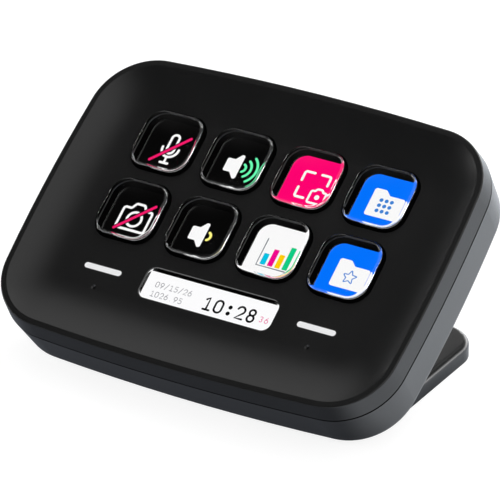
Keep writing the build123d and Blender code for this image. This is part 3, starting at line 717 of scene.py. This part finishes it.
GLYPH_HEIGHT = 10.0
GLYPHS = {                       # each figure's lines, in a cell 6 wide and 10 high: (path, closed)
    "0": [(rounded([(0, 0), (6, 0), (6, 10), (0, 10)], 2.9), True)],
    "1": [([(1.0, 8.4), (3.4, 10.0), (3.4, 0.0)], False), ([(0.8, 0.0), (6.0, 0.0)], False)],
    "2": [(arc((3, 7), 3, 165, -38) + [(0.1, 0.0), (6.0, 0.0)], False)],
    "3": [(arc((2.8, 7.5), 2.5, 145, -90) + arc((2.8, 2.5), 2.5, 90, -145)[1:], False)],
    "5": [([(5.4, 10.0), (1.0, 10.0), (0.7, 5.7)] + arc((2.8, 3.1), 3.1, 112, -140), False)],
    "6": [([(4.4, 10.0), (1.3, 6.3)] + arc((3.0, 3.1), 3.0, 150, 178, 3), False),
          (circle((3.0, 3.1), 3.0, 32), True)],
    "8": [(circle((3.0, 7.6), 2.4, 28), True), (circle((3.0, 2.6), 2.7, 32), True)],
    "9": [([(1.6, 0.0), (4.7, 3.7)] + arc((3.0, 6.9), 3.0, -30, -2, 3), False),
          (circle((3.0, 6.9), 3.0, 32), True)],
    "/": [([(0.3, -0.6), (5.7, 10.6)], False)],
    ":": [([(3.0, 1.7), (3.0, 1.71)], False), ([(3.0, 6.9), (3.0, 6.91)], False)],
    ".": [([(3.0, 0.2), (3.0, 0.21)], False)],
}


COLON_WIDTH = 2.0                # a colon's dots, in widths of the line


def figures(text, start, baseline, height, pitch, line):
    """Figures from `start` to the right, one in each `pitch`."""
    scale = height / GLYPH_HEIGHT
    shapes = []
    for i, sign in enumerate(text):
        for path, closed in GLYPHS[sign]:
            width = COLON_WIDTH * line if sign == ":" else line
            moved = [(start + i * pitch + x * scale, baseline + y * scale) for x, y in path]
            shapes.append(stroke(moved, width, closed))
    return shapes


INFO_LEFT, INFO_RIGHT = -17.3, 17.9              # the lit field, from the display's middle
INFO_BOTTOM, INFO_TOP = -4.2, 3.35
INFO_CORNER = 0.3
SMALL_HEIGHT = 1.35
SMALL_PITCH = 1.26
SMALL_LINE = 0.17
LAST_PITCH = 1.4
LARGE_HEIGHT = 3.1
LARGE_PITCH = 2.92
LARGE_LINE = 0.52

info_white = lit("info_white", 249, 249, 250)
info_ink = lit("info_ink", 10, 10, 12)
info_pale = lit("info_pale", 140, 140, 145)
info_pink = lit("info_pink", 222, 70, 140)
info_corners = [
    (INFO_LEFT, INFO_BOTTOM), (INFO_RIGHT, INFO_BOTTOM), (INFO_RIGHT, INFO_TOP), (INFO_LEFT, INFO_TOP)
]
small_figures = figures("09/15/26", -14.6, -0.35, SMALL_HEIGHT, SMALL_PITCH, SMALL_LINE)
small_figures += figures("1026.95", -14.8, -2.85, SMALL_HEIGHT, SMALL_PITCH, SMALL_LINE)
large_figures = figures("10:28", -0.9, -2.45, LARGE_HEIGHT, LARGE_PITCH, LARGE_LINE)
last_figures = figures("36", 14.0, -1.75, SMALL_HEIGHT, LAST_PITCH, SMALL_LINE)
info_layers = [
    (info_white, GROUND, [fill(rounded(info_corners, INFO_CORNER))]),
    (info_pale, LAYER, small_figures),
    (info_ink, LAYER, large_figures),
    (info_pink, LAYER, last_figures),
]
info_place = seat(middle("info_display"), reach("info_display", out))
info_picture = flat_piece("info_picture", info_layers, info_place)

# ---------------------------------------------------------------- display frame, holder and backlights
# Two black glass-filled mouldings. The frame carries the key display and its backlight, and the holder
# the information display with its own. The backlights are white plastic light guides.

frame_texture = moulded(
    grey(0.02), grey(0.04), rough=0.55, spread=0.12, grain_size=0.0003, depth=0.00002
)
frame_plastic = finish("frame_plastic", {}, frame_texture)
repaint(frame_plastic, "display_frame", "info_holder")
guide_texture = moulded(
    grey(0.78), grey(0.88), rough=0.25, spread=0.05, grain_size=0.0006, depth=0.000004
)
light_guide = finish("light_guide", {"Specular IOR Level": 0.6}, guide_texture)
repaint(light_guide, "key_backlight", "info_backlight")

# ---------------------------------------------------------------- touch bars
# Two thin bars of milky plastic, set into slots of the face. Small lamps in yellow resin light them from
# behind, on boards of their own.

MILK_SCALE = 400.0               # a cloud is 2.5 mm across


def lit_bar(place):
    """Even light through milky plastic, a little cloudy."""
    cloud = place.node("TexNoise", {}, {"Vector": place, "Scale": MILK_SCALE, "Detail": 2.0})
    return {
        "Base Color": cloud.mix(grey(0.38), grey(0.42)),
        "Emission Color": cloud.mix(grey(0.95), grey(1.0)),
    }


milky = finish("milky_plastic", {"Roughness": 0.4, "Emission Strength": 0.50}, lit_bar)
repaint(milky, "touch_bar_left", "touch_bar_right")
YELLOW_DARK = (0.85, 0.72, 0.25, 1.0)
YELLOW_LIGHT = (0.92, 0.82, 0.38, 1.0)
resin_texture = moulded(
    YELLOW_DARK, YELLOW_LIGHT, rough=0.35, spread=0.1, grain_size=0.0002, depth=0.000004
)
lamp_resin = finish("lamp_resin", {}, resin_texture)
repaint(lamp_resin, "touch_lamps")

# ---------------------------------------------------------------- main board
# A green glass-fibre board with its chips in black resin, and black sockets for the flat cables. Four
# screws hold the board and the display frame to the front shell.

MASK_DARK = (0.008, 0.055, 0.028, 1.0)
MASK_LIGHT = (0.02, 0.16, 0.07, 1.0)
TRACK_SCALE = 260.0
BOARD_CLOUD_SCALE = 500.0


def etched(place):
    """Solder mask over copper: lighter where a track or a pour lies under it."""
    shades = {"Color1": grey(1.0), "Color2": grey(0.55), "Mortar": grey(0.0), "Mortar Size": 0.03}
    layout = {"Vector": place, "Scale": TRACK_SCALE, **shades}
    tracks = place.node("TexBrick", {"offset": 0.37, "squash": 0.6}, layout)
    cloud = place.node("TexNoise", {}, {"Vector": place, "Scale": BOARD_CLOUD_SCALE, "Detail": 2.0})
    copper = tracks.part(0) * (0.8 + 0.2 * cloud)
    return {
        "Base Color": copper.mix(MASK_DARK, MASK_LIGHT),
        "Roughness": 0.35 + 0.1 * cloud,
        "Normal": place.node("Bump", {}, {"Height": copper, "Strength": 0.4, "Distance": 0.00003}),
    }


green_board = finish("green_board", {}, etched)
repaint(green_board, "main_board")
chip_texture = moulded(
    grey(0.012), grey(0.03), rough=0.55, spread=0.1, grain_size=0.00015, depth=0.000008
)
chip_resin = finish("chip_resin", {}, chip_texture)
repaint(chip_resin, "board_chips")
socket_texture = moulded(
    grey(0.03), grey(0.045), rough=0.45, spread=0.08, grain_size=0.0003, depth=0.000008
)
connector_plastic = finish("connector_plastic", {}, socket_texture)
repaint(connector_plastic, "cable_connectors")

# ---------------------------------------------------------------- flat cables
# Three strips of amber film with copper tracks inside. Each leaves a display or the switch board, bends
# round the edge of the main board and is pushed into its socket there.

FILM_AMBER = (0.42, 0.19, 0.03, 1.0)
FILM_COPPER = (0.62, 0.33, 0.10, 1.0)
FILM_TRACK_SCALE = 320.0


def film(place):
    """Amber film with copper tracks that run along it."""
    bands = {"wave_type": "BANDS", "bands_direction": "X", "wave_profile": "SIN"}
    lines = place.node("TexWave", bands, {"Vector": place, "Scale": FILM_TRACK_SCALE}, output=1)
    track = lines.step(0.4, 0.6)
    return {
        "Base Color": track.mix(FILM_AMBER, FILM_COPPER),
        "Roughness": 0.3 + 0.1 * track,
    }


flat_cable = finish("flat_cable", {}, film)
repaint(flat_cable, "display_cable", "switch_cable", "info_cable")

# ---------------------------------------------------------------- port and contact pins
# The port's shell is folded from bright steel round a black plastic tongue, and stands in a slot of the
# main board. Gold-plated pins lead from that board to the two touch boards.


def rolled(dark, light, rough, length, width):
    """Metal with fine lines of that length and width, as rolling, grinding or drawing leaves them."""

    def surface(place):
        fineness = (1 / length, 1 / width, 1 / width)
        drawn = place.node("VectorMath", {"operation": "MULTIPLY"}, {0: place, 1: fineness})
        lines = place.node("TexNoise", {}, {"Vector": drawn, "Scale": 1.0, "Detail": 4.0})
        return {
            "Base Color": lines.mix(dark, light),
            "Roughness": rough + 0.2 * (lines - 0.5),
            "Normal": place.node("Bump", {}, {"Height": lines, "Strength": 0.3, "Distance": 0.000004}),
        }

    return surface


METAL = {"Metallic": 1.0}
GOLD_DARK = (0.72, 0.50, 0.20, 1.0)
GOLD_LIGHT = (0.88, 0.66, 0.30, 1.0)
shell_lines = rolled(grey(0.62), grey(0.78), rough=0.28, length=0.004, width=0.0002)
bright_steel = finish("bright_steel", METAL, shell_lines)
repaint(bright_steel, "usb_shell")
repaint(connector_plastic, "usb_tongue")
pin_lines = rolled(GOLD_DARK, GOLD_LIGHT, rough=0.25, length=0.002, width=0.0002)
contact_gold = finish("contact_gold", METAL, pin_lines)
repaint(contact_gold, "touch_contact_pins")

# ---------------------------------------------------------------- screws
# Blackened steel screws with rounded heads and cross slots. Four close the case from behind, four hold
# the main board and three the foot.

screw_lines = rolled(grey(0.06), grey(0.14), rough=0.38, length=0.0006, width=0.0003)
screw_steel = finish("screw_steel", METAL, screw_lines)
repaint(screw_steel, "case_screws", "board_screws", "foot_screws")

# ---------------------------------------------------------------- foot
# A flat foot moulded in one with the flange that is screwed to the back of the case. A steel plate inside
# makes it heavy, and a rubber pad under it keeps it from sliding.

repaint(case_plastic, "foot_stand")
weight_lines = rolled(grey(0.36), grey(0.5), rough=0.4, length=0.02, width=0.0002)
weight_steel = finish("weight_steel", METAL, weight_lines)
repaint(weight_steel, "foot_weight")
rubber_texture = moulded(
    grey(0.012), grey(0.022), rough=0.8, spread=0.1, grain_size=0.0006, depth=0.00004
)
foot_rubber = finish("foot_rubber", {}, rubber_texture)
repaint(foot_rubber, "foot_pad")
